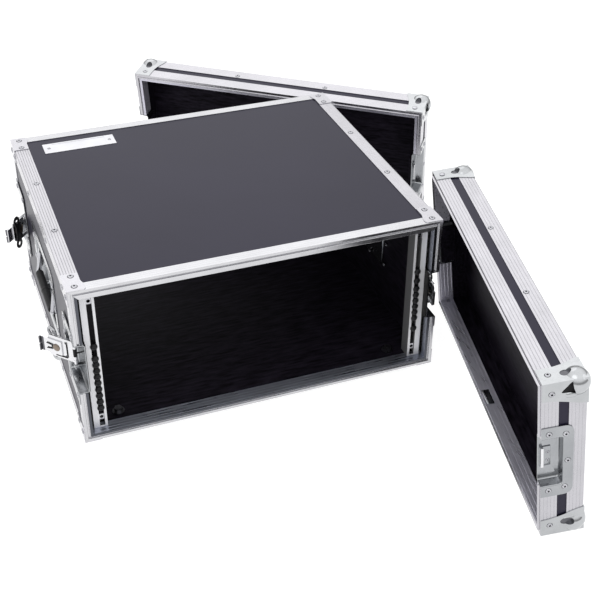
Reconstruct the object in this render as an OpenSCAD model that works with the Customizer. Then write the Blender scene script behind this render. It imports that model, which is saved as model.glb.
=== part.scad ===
// Equipment rack case with two lift-off lids, five rack units.
// X is to the right seen from the open front, Y runs to the back, Z is up.
// The origin is the middle of the pattern of four empty rail nuts, on their front faces.

/* [Case] */
// Inside height between the boards
inner_h = 224.6; // [180:0.1:300]
// Inside width between the boards
inner_w = 498.6; // [490:0.1:510]
// Board thickness
ply = 9; // [6:0.5:12]
// Front edge of the case
y_front = -14; // [-20:1:-8]
// Rear edge of the case
y_rear = 437; // [380:1:600]
// Aluminium wall thickness
ext = 1.2; // [1:0.1:2]
// Width of the edge angles
angle_w = 21.5; // [18:0.5:30]
// Steel thickness of the corner braces
brace = 1; // [0.8:0.1:1.5]
// Height of the rubber feet
foot_h = 16.7; // [10:0.1:25]

/* [Lids] */
// Depth of a lid over its extrusions
lid_d = 55.4; // [45:0.1:80]
// Ball corner radius
ball_r = 17; // [14:0.5:20]
// Rim gap when a lid is on
lid_gap = 0.3; // [0.2:0.1:1]
// Turn of the front lid as it stands beside the case
front_turn = 77.6; // [60:0.1:100]
// Turn of the rear lid as it stands beside the case
rear_turn = -37.99; // [-60:0.01:-20]
// Lean of a standing lid on its ball corners
lid_lean = 6.92; // [5:0.01:9]

/* [Rails] */
// Distance between the two columns of rack screws
rail_pitch = 465.1; // [460:0.1:470]
// Height between the outermost rack screws
screw_span = 190.5; // [100:0.1:300]
// Thread bore of the captive nuts
nut_bore = 2.5; // [2:0.1:3]
// Washer radius under the rack screws
washer_r = 4.9; // [4:0.1:6]

/* [Latches] */
// Hinge of the latch arm behind the front edge
arm_y = 27; // [24:0.5:32]
// Hinge of the latch arm from the middle of the case
arm_x = 253.8; // [252:0.1:256]
// Length of the latch dish behind the front edge
dish_w = 69; // [60:0.5:75]
// Rear end of the latch pocket
pocket_y = 46; // [38:0.5:48]
// Distance from arm hinge to hub
hub_v = 28.5; // [26:0.5:32]
// Hook travel over half a turn of the wing
hook_travel = 5; // [3:0.5:8]
// Rest opening of the two left arms
left_arm_rest = 138; // [0:1:140]
// Rest opening of the two right arms
right_arm_rest = 0; // [0:1:140]
// Hub turn still to go on the front left latch
front_left_turn = 175; // [0:1:180]
// Hub turn still to go on the right latches
right_turn = 0; // [0:1:180]
// Lift of the left wings
left_wing_lift = 4; // [0:1:55]
// Lift of the right wings
right_wing_lift = 0; // [0:1:55]

/* [Handles] */
// Middle of the handles along the case
handle_y = 211.5; // [180:0.5:240]
// Height of the bail pivot
bail_z = 26; // [20:1:32]
// Distance of the bail pivot from the middle of the case
bail_x = 254; // [250:0.1:257]
// Grip radius
grip_r = 5.8; // [5:0.1:8]

/* [Hidden] */
$fn = 48;
ix = inner_w / 2;
iz = inner_h / 2;
bx = ix + ply;
bz = iz + ply;
ex = bx + ext;
ez = bz + ext;
cx = ex + brace;
cz = ez + brace;
y_mid = (y_front + y_rear) / 2;
floor_z = -bz - foot_h;
web = 4.4;
rim_p = ply + ext + 1;
dish_x = 246.5;
cut_z = 39.4;
ball_in = 10.7;
// what is left open at the very corner of a lid for the ball
tip = 6.5;
steel = [0.62, 0.63, 0.66];
alu = [0.72, 0.72, 0.76];
black = [0.08, 0.08, 0.09];
lam = [0.12, 0.13, 0.17];
brass = [0.7, 0.55, 0.25];

module box(x0, y0, z0, x1, y1, z1) {
  translate([min(x0, x1), min(y0, y1), min(z0, z1)])
    cube([abs(x1 - x0), abs(y1 - y0), abs(z1 - z0)]);
}
module both_x() {
  children();
  mirror([1, 0, 0]) children();
}
module both_z() {
  children();
  mirror([0, 0, 1]) children();
}
// mirror about the middle of the case's length
module rear_copy() {
  translate([0, 2 * y_mid, 0]) mirror([0, 1, 0]) children();
}
module both_y() {
  children();
  rear_copy() children();
}
// domed rivet head standing on z = 0
module dome(r, h) {
  rotate_extrude() polygon([[0, 0], [r, 0], [r, 0.35 * h], [0.8 * r, 0.75 * h], [0.45 * r, h], [0, h]]);
}
module tube(r_out, r_in, h) {
  difference() {
    cylinder(r = r_out, h = h);
    translate([0, 0, -1]) cylinder(r = r_in, h = h + 2);
  }
}
// plate outline with two rounded corners on its far side, in x 0..w and y -h..h
module dish_outline(w, h, r) {
  difference() {
    translate([0, -h]) square([w, 2 * h]);
    translate([w - r, h - r]) square([r + 1, r + 1]);
    translate([w - r, -h - 1]) square([r + 1, r + 1]);
  }
  translate([w - r, h - r]) circle(r = r);
  translate([w - r, -h + r]) circle(r = r);
}

// four mitred bars around an opening, profile x runs inwards and y runs away from the rim plane
module mitred(hw, hh, m, along) {
  g = 0.1;
  both_z() intersection() {
    translate([-hw, 0, hh]) rotate([0, 90, 0]) linear_extrude(height = 2 * hw) children();
    rotate([90, 0, 0]) translate([0, 0, -along]) linear_extrude(height = along + 5)
      polygon([[-hw + g, hh + 1], [hw - g, hh + 1], [hw - m - g, hh - m], [-hw + m + g, hh - m]]);
  }
  both_x() difference() {
    intersection() {
      translate([hw, 0, -hh]) mirror([1, 0, 0]) linear_extrude(height = 2 * hh) children();
      rotate([90, 0, 0]) translate([0, 0, -along]) linear_extrude(height = along + 5)
        polygon([[hw + 1, hh - g], [hw - m, hh - m - g], [hw - m, -hh + m + g], [hw + 1, -hh + g]]);
    }
    box(hw - m - 1, -6, -cut_z, hw + 2, along + 1, cut_z);
  }
}
module groove_profile() {
  polygon([[0, 0], [3.1, 0], [3.1, 3.2], [8.1, 3.2], [8.1, 0], [rim_p, 0], [rim_p, 16.5],
    [rim_p - 1, 16.5], [rim_p - 1, web], [ext, web], [ext, 16.5], [0, 16.5]]);
}
module tongue_profile() {
  polygon([[0, 0], [4.4, 0], [5.2, -2.2], [6, -2.2], [6.8, 0], [rim_p, 0], [rim_p, 14],
    [rim_p - 1, 14], [rim_p - 1, 1.4], [ext, 1.4], [ext, 21], [0, 21]]);
}

// ---------------------------------------------------------------- case
module flat_board(s) {
  difference() {
    box(-bx, y_front + web, s * iz, bx, y_rear - web, s * bz);
    if (s < 0) both_x() both_y() translate([205, 24, -bz - 1]) cylinder(r = 3.3, h = ply + 2);
  }
}
module top_board() {
  color(lam) flat_board(1);
}
module bottom_board() {
  color(lam) flat_board(-1);
}
module side_board() {
  difference() {
    box(ix, y_front + web, -iz, bx, y_rear - web, iz);
    both_y() box(ix - 1, y_front - 1, -cut_z, bx + 1, pocket_y + 1.4, cut_z);
    box(ix - 1, handle_y - 65.4, -45.4, bx + 1, handle_y + 65.4, 45.4);
    for (p = wall_bolts) translate([ix - 1, handle_y + p[0], p[1]]) rotate([0, 90, 0])
      cylinder(r = 2.2, h = ply + 2);
  }
}
wall_bolts = [[-74, -38], [74, -38], [-74, 38], [74, 38], [-77, 0], [77, 0]];
module left_board() {
  color(lam) mirror([1, 0, 0]) side_board();
}
module right_board() {
  color(lam) side_board();
}
module edge_angles() {
  color(alu) both_x() both_z() translate([0, y_front + 16.6, 0]) rotate([-90, 0, 0])
    linear_extrude(height = y_rear - y_front - 33.2)
      polygon([[ex, -ez], [ex - angle_w, -ez], [ex - angle_w, -bz], [bx, -bz], [bx, -ez + angle_w],
        [ex, -ez + angle_w]]);
}
module front_rim() {
  color(alu) translate([0, y_front, 0]) mitred(ex, ez, rim_p + 2, 20) groove_profile();
}
module rear_rim() {
  color(alu) rear_copy() translate([0, y_front, 0]) mitred(ex, ez, rim_p + 2, 20) groove_profile();
}
// flared outline of a brace leg, x out to the edge and y along the case
module brace_leg(w, l, edge) {
  polygon([[edge - w - 0.6, 0.8], [edge - w, 0.4], [edge, 0.4], [edge, l], [edge - w + 0.6, l],
    [edge - w + 0.6, 22], [edge - w - 2.2, 13], [edge - w - 3, 8], [edge - w - 2.4, 3.4]]);
}
module body_brace() {
  translate([0, y_front, ez]) linear_extrude(height = brace) brace_leg(23, 41, cx);
  translate([ex, y_front, 0]) rotate([0, 0, 90]) rotate([90, 0, 0]) linear_extrude(height = brace)
      polygon([[0.4, cz - 23], [0.4, cz - brace], [41, cz - brace], [41, cz - 22.4], [22, cz - 22.4],
        [13, cz - 25.2], [8, cz - 26], [3.4, cz - 25.4], [0.8, cz - 23.6]]);
}
module corner_braces() {
  color(steel) both_x() both_z() both_y() body_brace();
}
// rivets over the case on one quarter of the top, then of a side
module case_rivets() {
  color(steel) {
    both_x() both_z() {
      for (y = [142, 282]) {
        translate([246, y, ez]) dome(3.9, 1.4);
        translate([ex, y, 109]) rotate([0, 90, 0]) dome(3.9, 1.4);
      }
      both_y() for (y = [-4, 20.5]) {
        translate([248, y, cz]) dome(3.9, 1.4);
        translate([cx, y, 110]) rotate([0, 90, 0]) dome(3.9, 1.4);
      }
      both_y() for (p = [[45, 47], [50.4, 20], [-4, 47]])
        translate([260.7, p[0], p[1]]) rotate([0, 90, 0]) dome(3.4, 1.2);
    }
    for (x = [-209, -115.5]) translate([x, 388.3, bz + 0.8]) dome(2.2, 0.9);
  }
}
module name_plate() {
  color(steel) difference() {
    box(-217, 372.5, bz, -107.5, 404, bz + 0.8);
    box(-203, 376, bz + 0.5, -121.5, 400.5, bz + 2);
  }
}

// ---------------------------------------------------------------- rails
module rail() {
  color(steel) difference() {
    translate([0, 0, -iz + 1.3]) linear_extrude(height = inner_h - 2.6)
      polygon([[225.4, -2], [244.3, -2], [244.3, 22], [242.3, 22], [242.3, 0], [237.6, 0],
        [237.6, 4.3], [236.2, 4.3], [236.2, -1], [228.9, -1], [228.9, 4.3], [227.5, 4.3],
        [227.5, 18], [225.4, 18]]);
    box(228.9, -3, -iz + 3, 236.2, 6, iz - 3);
    box(224, -3, 101, 230, 6, 109);
    for (z = [-92, -64, 64, 92]) translate([240, 12, z]) rotate([0, 90, 0]) cylinder(r = 2.2, h = 6);
  }
}
module left_rail() {
  mirror([1, 0, 0]) rail();
}
module right_rail() {
  rail();
}
module rail_battens() {
  color(black) both_x() both_z() difference() {
    box(244.3, 3, 43, ix, 26, iz - 1.2);
    for (z = [64, 92]) translate([243, 12, z]) rotate([0, 90, 0]) cylinder(r = 2.2, h = 8);
  }
}
module rail_bolts() {
  color(steel) both_x() both_z() for (z = [64, 92]) {
    translate([242.3, 12, z]) rotate([0, -90, 0]) dome(4.4, 2.2);
    translate([242.3, 12, z]) rotate([0, 90, 0]) cylinder(r = 2, h = 6.8);
  }
}
left_screws = [24.3, 14.2, 4.6, -5.4, -15.4, -25.6, -35.8, -46.4, -57.2, -68, -78.4];
right_screws = [37.3, 21.8, 8.2, -2.2, -12.3, -22.4, -32.5, -42.8, -61.3];
module each_screw() {
  for (z = left_screws) if (z != 14.2) translate([-rail_pitch / 2, 0, z]) children();
  for (z = right_screws) translate([rail_pitch / 2, 0, z]) children();
}
// nuts sit in the slot behind the strips, 7.3 wide at the front
module slot_nut(r) {
  difference() {
    box(-3.5, 0, -4.6, 3.5, 4.2, 4.6);
    translate([0, -1, 0]) rotate([-90, 0, 0]) cylinder(r = r, h = 8);
  }
}
module rail_nuts() {
  color(steel) {
    for (x = [-1, 1], z = [-1, 1]) translate([x * rail_pitch / 2, 0, z * screw_span / 2])
      slot_nut(nut_bore);
    each_screw() slot_nut(2.5);
  }
}
module rack_screws() {
  color(steel) each_screw() {
    rotate([-90, 0, 0]) translate([0, 0, -3.2]) cylinder(r = 2.45, h = 14);
    translate([0, -3.2, 0]) rotate([90, 0, 0]) difference() {
      dome(4.1, 2.2);
      box(-2.2, -0.35, 1.2, 2.2, 0.35, 3);
      box(-0.35, -2.2, 1.2, 0.35, 2.2, 3);
    }
  }
}
module screw_washers() {
  color(black) each_screw() translate([0, -2, 0]) rotate([90, 0, 0]) tube(washer_r, 2.7, 1.2);
}

// ---------------------------------------------------------------- feet
module feet() {
  color(black) both_x() both_y() translate([205, 24, floor_z]) difference() {
    rotate_extrude() polygon([[0, 0], [17.5, 0], [19, 1.5], [20, foot_h], [0, foot_h]]);
    translate([0, 0, -1]) cylinder(r = 7, h = 9);
    cylinder(r = 3.3, h = 30);
  }
}
module foot_bolts() {
  color(steel) both_x() both_y() translate([205, 24, 0]) {
    translate([0, 0, floor_z + 4.4]) cylinder(r = 5.4, h = 3.5);
    translate([0, 0, floor_z + 7.8]) cylinder(r = 3, h = 25);
    translate([0, 0, -iz]) tube(8.5, 3.2, 1.4);
    translate([0, 0, -iz + 1.5]) difference() {
      cylinder(r = 5.8, h = 5, $fn = 6);
      translate([0, 0, -1]) cylinder(r = 3.05, h = 7);
    }
  }
}

// ---------------------------------------------------------------- latches
module latch_dish() {
  difference() {
    union() {
      translate([ex, y_front, 0]) rotate([0, 0, 90]) rotate([90, 0, 0])
        linear_extrude(height = 1.2) dish_outline(dish_w, 56, 11);
      box(dish_x - 1.2, y_front, -39.2, ex + 1, pocket_y + 1.2, 39.2);
    }
    box(dish_x, y_front - 1, -38, ex + 3, pocket_y, 38);
  }
  for (s = [-1, 1]) difference() {
    box(dish_x, arm_y - 3.2, s * 19.6, arm_x + 3.2, arm_y + 3.2, s * 24);
    translate([arm_x, arm_y, s * 22 - 8]) cylinder(r = 1.55, h = 16);
  }
}
module latch_dishes() {
  color(steel) both_x() both_y() latch_dish();
}
module latch_pins() {
  color(steel) both_x() both_y() translate([arm_x, arm_y, -25]) {
    cylinder(r = 1.5, h = 50);
    translate([0, 0, -0.9]) cylinder(r = 2.6, h = 0.85);
    translate([0, 0, 50.05]) cylinder(r = 2.6, h = 0.85);
  }
}
module latch_springs() {
  color(black) both_x() both_y() translate([arm_x, arm_y, 0]) {
    for (z = [-5.6:1.6:4.1]) translate([0, 0, z]) tube(2.6, 1.55, 1.4);
    box(-7.2, -2.4, -1, -1.2, -1.2, 1);
  }
}
// one latch in its own frame: x out of the dish, y towards the lid, z up, hinge on the z axis
module arm_shape() {
  difference() {
    union() {
      translate([0, 0, -18.5]) cylinder(r = 2.4, h = 37);
      box(-0.8, 0, -17, 0.8, 43, 17);
      box(0.7, 3, -17, 1.1, 5.4, 17);
    }
    translate([0, 0, -20]) cylinder(r = 1.6, h = 40);
    box(-4, -4, -6.4, 4, 4, 6.4);
    translate([-4, hub_v, 0]) rotate([0, 90, 0]) cylinder(r = 3.1, h = 8);
    for (s = [-1, 1]) translate([-4, 13, s * 11]) rotate([0, 90, 0]) cylinder(r = 2.4, h = 8);
  }
}
module hook_shape() {
  difference() {
    union() {
      box(-2.6, 15, -11, -1, 49.9, 11);
      for (s = [-1, 1]) box(-5.3, 48.3, s * 1.2, -1.2, 49.9, s * 11);
    }
    for (y = [hub_v, hub_v - hook_travel]) translate([-4, y, 0]) rotate([0, 90, 0])
      cylinder(r = 3.2, h = 5);
    box(-4, hub_v - hook_travel, -3.2, 1, hub_v, 3.2);
  }
}
module hub_shape() {
  translate([0, hub_v, 0]) difference() {
    union() {
      translate([-2.7, 0, 0]) rotate([0, 90, 0]) cylinder(r = 3, h = 4);
      translate([-2.7, 0, 0]) rotate([0, -90, 0]) dome(5.5, 1.6);
      translate([0.9, 0, 0]) rotate([0, 90, 0]) cylinder(r = 9, h = 1.5);
      box(2.2, -2.1, -5, 6.0, 2.1, 5);
    }
    translate([4.4, 0, -8]) cylinder(r = 1.05, h = 16);
  }
}
module wing_shape() {
  difference() {
    union() {
      cylinder(r = 0.95, h = 24, center = true);
      both_z() translate([0, 0, 5.4]) cylinder(r = 1.6, h = 8);
      box(-0.8, -10, -13, 0.8, 0, 13);
      both_z() translate([-0.8, -9.4, 19.5]) rotate([0, 90, 0]) cylinder(r = 8, h = 1.6);
      both_z() box(-0.8, -15.2, 12, 0.8, -3.6, 19);
    }
    both_z() translate([-2, -9.4, 19.5]) rotate([0, 90, 0]) cylinder(r = 3.4, h = 4);
    box(-3, -3.6, -5.3, 3, 3.6, 5.3);
  }
  cylinder(r = 0.95, h = 12, center = true);
}
// puts a latch piece on the case, left or right, front or rear, opened by some angle
module on_case(left, rear, open) {
  mirror([left ? 1 : 0, 0, 0]) translate([0, rear ? 2 * y_mid : 0, 0]) mirror([0, rear ? 1 : 0, 0])
    translate([arm_x, arm_y, 0]) rotate([0, 0, open]) mirror([0, 1, 0]) children();
}
module hooked(turn) {
  translate([0, hook_travel * turn / 180, 0]) children();
}
// turn of the hub away from its stowed position, about the hub's own axis
module turned(turn) {
  translate([0, hub_v, 0]) rotate([turn, 0, 0]) translate([0, -hub_v, 0]) children();
}
module wing_at(turn, lift) {
  turned(turn) translate([4.4, hub_v, 0]) rotate([0, 0, lift]) wing_shape();
}
module latch_a_arm() {
  color(steel) on_case(true, false, left_arm_rest) arm_shape();
}
module latch_a_hook() {
  color(steel) on_case(true, false, left_arm_rest) hooked(front_left_turn) hook_shape();
}
module latch_a_hub() {
  color(brass) on_case(true, false, left_arm_rest) turned(front_left_turn) hub_shape();
}
module latch_a_wing() {
  color(steel) on_case(true, false, left_arm_rest) wing_at(front_left_turn, left_wing_lift);
}
module latch_b_arm() {
  color(steel) on_case(true, true, left_arm_rest) arm_shape();
}
module latch_b_hook() {
  color(steel) on_case(true, true, left_arm_rest) hooked(180) hook_shape();
}
module latch_b_hub() {
  color(brass) on_case(true, true, left_arm_rest) turned(180) hub_shape();
}
module latch_b_wing() {
  color(steel) on_case(true, true, left_arm_rest) wing_at(180, left_wing_lift);
}
module latch_c_arm() {
  color(steel) on_case(false, false, right_arm_rest) arm_shape();
}
module latch_c_hook() {
  color(steel) on_case(false, false, right_arm_rest) hooked(right_turn) hook_shape();
}
module latch_c_hub() {
  color(brass) on_case(false, false, right_arm_rest) turned(right_turn) hub_shape();
}
module latch_c_wing() {
  color(steel) on_case(false, false, right_arm_rest) wing_at(right_turn, right_wing_lift);
}
module latch_d_arm() {
  color(steel) on_case(false, true, right_arm_rest) arm_shape();
}
module latch_d_hook() {
  color(steel) on_case(false, true, right_arm_rest) hooked(right_turn) hook_shape();
}
module latch_d_hub() {
  color(brass) on_case(false, true, right_arm_rest) turned(right_turn) hub_shape();
}
module latch_d_wing() {
  color(steel) on_case(false, true, right_arm_rest) wing_at(right_turn, right_wing_lift);
}

// ---------------------------------------------------------------- handles
module round_plate(hw, hh, r) {
  square([2 * hw - 2 * r, 2 * hh], center = true);
  square([2 * hw, 2 * hh - 2 * r], center = true);
  for (x = [-1, 1], y = [-1, 1]) translate([x * (hw - r), y * (hh - r)]) circle(r = r);
}
module handle_dish() {
  translate([0, handle_y, 0]) difference() {
    union() {
      translate([bx, 0, 0]) rotate([0, 0, 90]) rotate([90, 0, 0]) linear_extrude(height = 1.3)
        round_plate(82, 60, 9);
      box(dish_x - 1.2, -65.2, -45.2, bx + 1, 65.2, 45.2);
    }
    box(dish_x, -64, -44, bx + 3, 64, 44);
    for (p = floor_bolts) translate([dish_x - 3, p[0], p[1]]) rotate([0, 90, 0])
      cylinder(r = 2.2, h = 6);
    for (p = wall_bolts) translate([bx - 1, p[0], p[1]]) rotate([0, 90, 0]) cylinder(r = 2.2, h = 4);
  }
}
floor_bolts = [[-27, -39], [27, -39]];
module handle_dishes() {
  color(steel) both_x() handle_dish();
}
module handle_lugs() {
  color(steel) both_x() translate([0, handle_y, 0]) for (s = [-1, 1]) difference() {
    union() {
      box(dish_x, s * 42, bail_z - 5, bail_x, s * 51, bail_z + 5);
      translate([bail_x, s * 42, bail_z]) rotate([-90 * s, 0, 0]) cylinder(r = 5, h = 9);
    }
    translate([bail_x, -60, bail_z]) rotate([-90, 0, 0]) cylinder(r = 3.1, h = 120);
  }
}
module handle_bolts() {
  color(steel) both_x() translate([0, handle_y, 0]) {
    for (p = wall_bolts) {
      translate([bx + 1.3, p[0], p[1]]) rotate([0, 90, 0]) dome(4, 1.5);
      translate([ix - 5, p[0], p[1]]) rotate([0, 90, 0]) cylinder(r = 2, h = ply + 6.3);
      translate([ix, p[0], p[1]]) rotate([0, -90, 0]) difference() {
        cylinder(r = 4, h = 3.2, $fn = 6);
        translate([0, 0, -1]) cylinder(r = 2.05, h = 6);
      }
    }
    for (p = floor_bolts) {
      translate([dish_x, p[0], p[1]]) rotate([0, 90, 0]) dome(4, 1.5);
      translate([dish_x - 5, p[0], p[1]]) rotate([0, 90, 0]) cylinder(r = 2, h = 5);
      translate([dish_x - 1.2, p[0], p[1]]) rotate([0, -90, 0]) difference() {
        cylinder(r = 4, h = 3, $fn = 6);
        translate([0, 0, -1]) cylinder(r = 2.05, h = 6);
      }
    }
  }
}
grip_x = 261.6;
grip_z = -16;
leg_len = norm([grip_x - bail_x, bail_z - grip_z]);
leg_tilt = atan2(grip_x - bail_x, bail_z - grip_z);
module bail() {
  color(steel) translate([0, handle_y, 0]) for (s = [-1, 1]) {
    translate([bail_x, s * 41, bail_z]) rotate([-90 * s, 0, 0]) cylinder(r = 3, h = 16);
    translate([bail_x, s * 57, bail_z]) sphere(r = 4);
    translate([bail_x, s * 57, bail_z]) rotate([0, 180 - leg_tilt, 0]) cylinder(r = 3.6, h = leg_len);
    translate([grip_x, s * 57, grip_z]) sphere(r = 4);
    translate([grip_x, s * 57, grip_z]) rotate([90 * s, 0, 0]) cylinder(r = 3.6, h = 8);
  }
  color(steel) translate([grip_x, handle_y - 55, grip_z]) rotate([-90, 0, 0]) cylinder(r = 3, h = 110);
}
module grip() {
  color(black) translate([grip_x, handle_y - 52, grip_z]) rotate([-90, 0, 0]) difference() {
    rotate_extrude() polygon([[0, 0], [5.2, 0], [grip_r, 2], [grip_r, 48], [grip_r + 0.5, 52],
      [grip_r, 56], [grip_r, 102], [5.2, 104], [0, 104]]);
    translate([0, 0, -1]) cylinder(r = 3.65, h = 4.05);
    translate([0, 0, 100.95]) cylinder(r = 3.65, h = 5);
    translate([0, 0, -1]) cylinder(r = 3.02, h = 110);
  }
}
module left_bail() {
  mirror([1, 0, 0]) bail();
}
module left_grip() {
  mirror([1, 0, 0]) grip();
}
module right_bail() {
  bail();
}
module right_grip() {
  grip();
}

// ---------------------------------------------------------------- lids
// in a lid's own frame x runs along it, y out from its open side, z up from its middle
front_at = [296.55519, -113.23656, floor_z];
rear_at = [212.80819, 522.48389, floor_z];
module front_lid() {
  translate(front_at) rotate([0, 0, front_turn]) rotate([-lid_lean, 0, 0]) translate([0, 0, cz])
    mirror([0, 1, 0]) children();
}
module rear_lid() {
  translate(rear_at) rotate([0, 0, rear_turn]) rotate([lid_lean, 0, 0]) translate([0, 0, cz])
    children();
}
module corner_void() {
  both_x() both_z() box(ex - tip, lid_d - tip, ez - tip, ex + 5, lid_d + 5, ez + 5);
}
module pin_holes() {
  both_z() translate([245, 12, iz - 8]) cylinder(r = 2.75, h = 30);
}
module lid_board() {
  color(lam) difference() {
    box(-bx, lid_d - ext - ply, -bz, bx, lid_d - ext, bz);
    corner_void();
  }
}
module lid_walls() {
  color(lam) difference() {
    union() {
      both_z() box(-bx, 1.4, iz + 0.1, bx, lid_d - ext - ply, bz);
      both_x() box(ix, 1.4, -iz, bx, lid_d - ext - ply, iz);
    }
    both_x() box(ix - 1, -1, -cut_z, bx + 1, 28.4, cut_z);
    pin_holes();
    corner_void();
  }
  color(black) both_x() box(240.3, 3, -30, 245.3, 26, 30);
}
module lid_rim() {
  color(alu) difference() {
    mitred(ex, ez, rim_p + 2, 24) tongue_profile();
    pin_holes();
  }
}
module lid_edges() {
  w = angle_w + 0.5;
  color(alu) difference() {
    union() {
      both_z() translate([-ex + 0.1, 0, 0]) rotate([90, 0, 90])
        linear_extrude(height = 2 * ex - 0.2) polygon([[lid_d, ez], [lid_d - w, ez], [lid_d - w, bz],
          [lid_d - ext, bz], [lid_d - ext, ez - w], [lid_d, ez - w]]);
      both_x() translate([0, 0, -ez + w + 0.1]) linear_extrude(height = 2 * (ez - w) - 0.2)
        polygon([[ex, lid_d], [ex, lid_d - w], [bx, lid_d - w], [bx, lid_d - ext],
          [ex - w, lid_d - ext], [ex - w, lid_d]]);
      both_x() both_z() box(bx, lid_d - w, ez - w, ex, lid_d - ext, bz);
    }
    corner_void();
    both_x() box(bx - 1, lid_d - w - 1, -56.3, ex + 1, 40.3, 56.3);
  }
}
module lid_balls() {
  color(steel) both_x() both_z() {
    difference() {
      union() {
        translate([ex - ball_in, lid_d - ball_in, ez - ball_in]) sphere(r = ball_r);
        translate([0, 0, ez]) linear_extrude(height = brace)
          polygon([[232.5, 0.4], [cx, 0.4], [cx, lid_d + brace], [222, lid_d + brace], [222, 50],
            [228, 38], [232, 24]]);
        translate([ex, 0, 0]) rotate([0, 0, 90]) rotate([90, 0, 0]) linear_extrude(height = brace)
          polygon([[0.4, 98], [0.4, cz], [lid_d + brace, cz], [lid_d + brace, 84], [48, 85.5],
            [36, 91], [22, 96.5]]);
        translate([0, lid_d, 0]) mirror([0, 1, 0]) rotate([90, 0, 0]) linear_extrude(height = brace)
          polygon([[222, cz], [222, 106], [230, 102], [237, 95], [239, 84], [cx, 84], [cx, cz]]);
      }
      difference() {
        box(ex - 60, -1, ez - 60, ex, lid_d, ez);
        corner_void();
      }
      both_z() translate([245, 12, iz - 8]) cylinder(r = 2.75, h = 30);
    }
  }
}
module lid_catches() {
  color(steel) both_x() {
    difference() {
      union() {
        translate([ex, 0, 0]) rotate([0, 0, 90]) rotate([90, 0, 0]) linear_extrude(height = 1.2)
          dish_outline(40, 56, 11);
        box(dish_x - 1.2, 0, -39.2, ex + 1, 28.2, 39.2);
      }
      box(dish_x, -1, -38, ex + 3, 27, 38);
    }
    // hooked keeper that the latch claws pull on
    box(dish_x, 2.2, -15.5, dish_x + 1.2, 16, 15.5);
    box(dish_x + 1.1, 4.5, -15.5, 250.6, 6.5, 15.5);
    for (z = [-7, 7]) translate([dish_x + 1.2, 12.4, z]) rotate([0, 90, 0]) dome(2.6, 0.5);
    for (p = [[9.5, 46], [9.5, -46], [30, 43], [30, -43], [33, 0]])
      translate([260.7, p[0], p[1]]) rotate([0, 90, 0]) dome(3.2, 1.2);
    both_z() {
      translate([cx, 12, 107]) rotate([0, 90, 0]) dome(3.7, 1.4);
      for (x = [80]) translate([x, 39, ez]) dome(3.7, 1.4);
      for (x = [80, 200]) translate([x, lid_d, 112]) rotate([-90, 0, 0]) dome(3.7, 1.4);
    }
  }
  color(steel) both_z() translate([-245, 12, cz]) dome(3.7, 1.4);
  // splice patch inside the open side
  color(steel) both_z() box(-16, 2, iz - 2, 16, 13, iz - 1);
}
// the two rivets the lid is carried round on, loose in their holes
module lid_pins() {
  color(steel) both_z() translate([245, 12, 0]) {
    translate([0, 0, iz - 1.4]) cylinder(r = 2.35, h = cz - iz + 2);
    translate([0, 0, cz + 0.35]) dome(4.2, 1.4);
    translate([0, 0, iz - 2.8]) cylinder(r = 3, h = 1.4);
  }
}
module front_lid_board() {
  front_lid() lid_board();
}
module front_lid_walls() {
  front_lid() lid_walls();
}
module front_lid_rim() {
  front_lid() lid_rim();
}
module front_lid_edges() {
  front_lid() lid_edges();
}
module front_lid_balls() {
  front_lid() lid_balls();
}
module front_lid_catches() {
  front_lid() lid_catches();
}
module front_lid_pins() {
  front_lid() lid_pins();
}
module rear_lid_board() {
  rear_lid() lid_board();
}
module rear_lid_walls() {
  rear_lid() lid_walls();
}
module rear_lid_rim() {
  rear_lid() lid_rim();
}
module rear_lid_edges() {
  rear_lid() lid_edges();
}
module rear_lid_balls() {
  rear_lid() lid_balls();
}
module rear_lid_catches() {
  rear_lid() lid_catches();
}
module rear_lid_pins() {
  rear_lid() lid_pins();
}

top_board();
bottom_board();
left_board();
right_board();
edge_angles();
front_rim();
rear_rim();
corner_braces();
case_rivets();
name_plate();
left_rail();
right_rail();
rail_battens();
rail_bolts();
rail_nuts();
rack_screws();
screw_washers();
feet();
foot_bolts();
latch_dishes();
latch_pins();
latch_springs();
handle_dishes();
handle_lugs();
handle_bolts();
left_bail();
left_grip();
right_bail();
right_grip();
latch_a_arm();
latch_a_hook();
latch_a_hub();
latch_a_wing();
latch_b_arm();
latch_b_hook();
latch_b_hub();
latch_b_wing();
latch_c_arm();
latch_c_hook();
latch_c_hub();
latch_c_wing();
latch_d_arm();
latch_d_hook();
latch_d_hub();
latch_d_wing();
front_lid_board();
front_lid_walls();
front_lid_rim();
front_lid_edges();
front_lid_balls();
front_lid_catches();
front_lid_pins();
rear_lid_board();
rear_lid_walls();
rear_lid_rim();
rear_lid_edges();
rear_lid_balls();
rear_lid_catches();
rear_lid_pins();
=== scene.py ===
import math

import bmesh
import bpy
from mathutils import Matrix, Vector


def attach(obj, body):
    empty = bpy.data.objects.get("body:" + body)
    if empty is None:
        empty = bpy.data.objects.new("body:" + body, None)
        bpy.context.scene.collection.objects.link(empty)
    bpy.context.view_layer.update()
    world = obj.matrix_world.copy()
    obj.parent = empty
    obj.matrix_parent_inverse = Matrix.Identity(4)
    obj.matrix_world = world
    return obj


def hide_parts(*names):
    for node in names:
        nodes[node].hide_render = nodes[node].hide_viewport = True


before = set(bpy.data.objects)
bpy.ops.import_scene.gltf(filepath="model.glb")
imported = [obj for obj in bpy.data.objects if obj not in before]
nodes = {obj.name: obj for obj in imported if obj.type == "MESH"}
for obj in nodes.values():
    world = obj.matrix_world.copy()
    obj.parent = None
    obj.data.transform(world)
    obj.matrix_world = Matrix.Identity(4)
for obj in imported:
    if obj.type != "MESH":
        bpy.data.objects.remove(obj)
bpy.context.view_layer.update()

MM = 0.001

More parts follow.
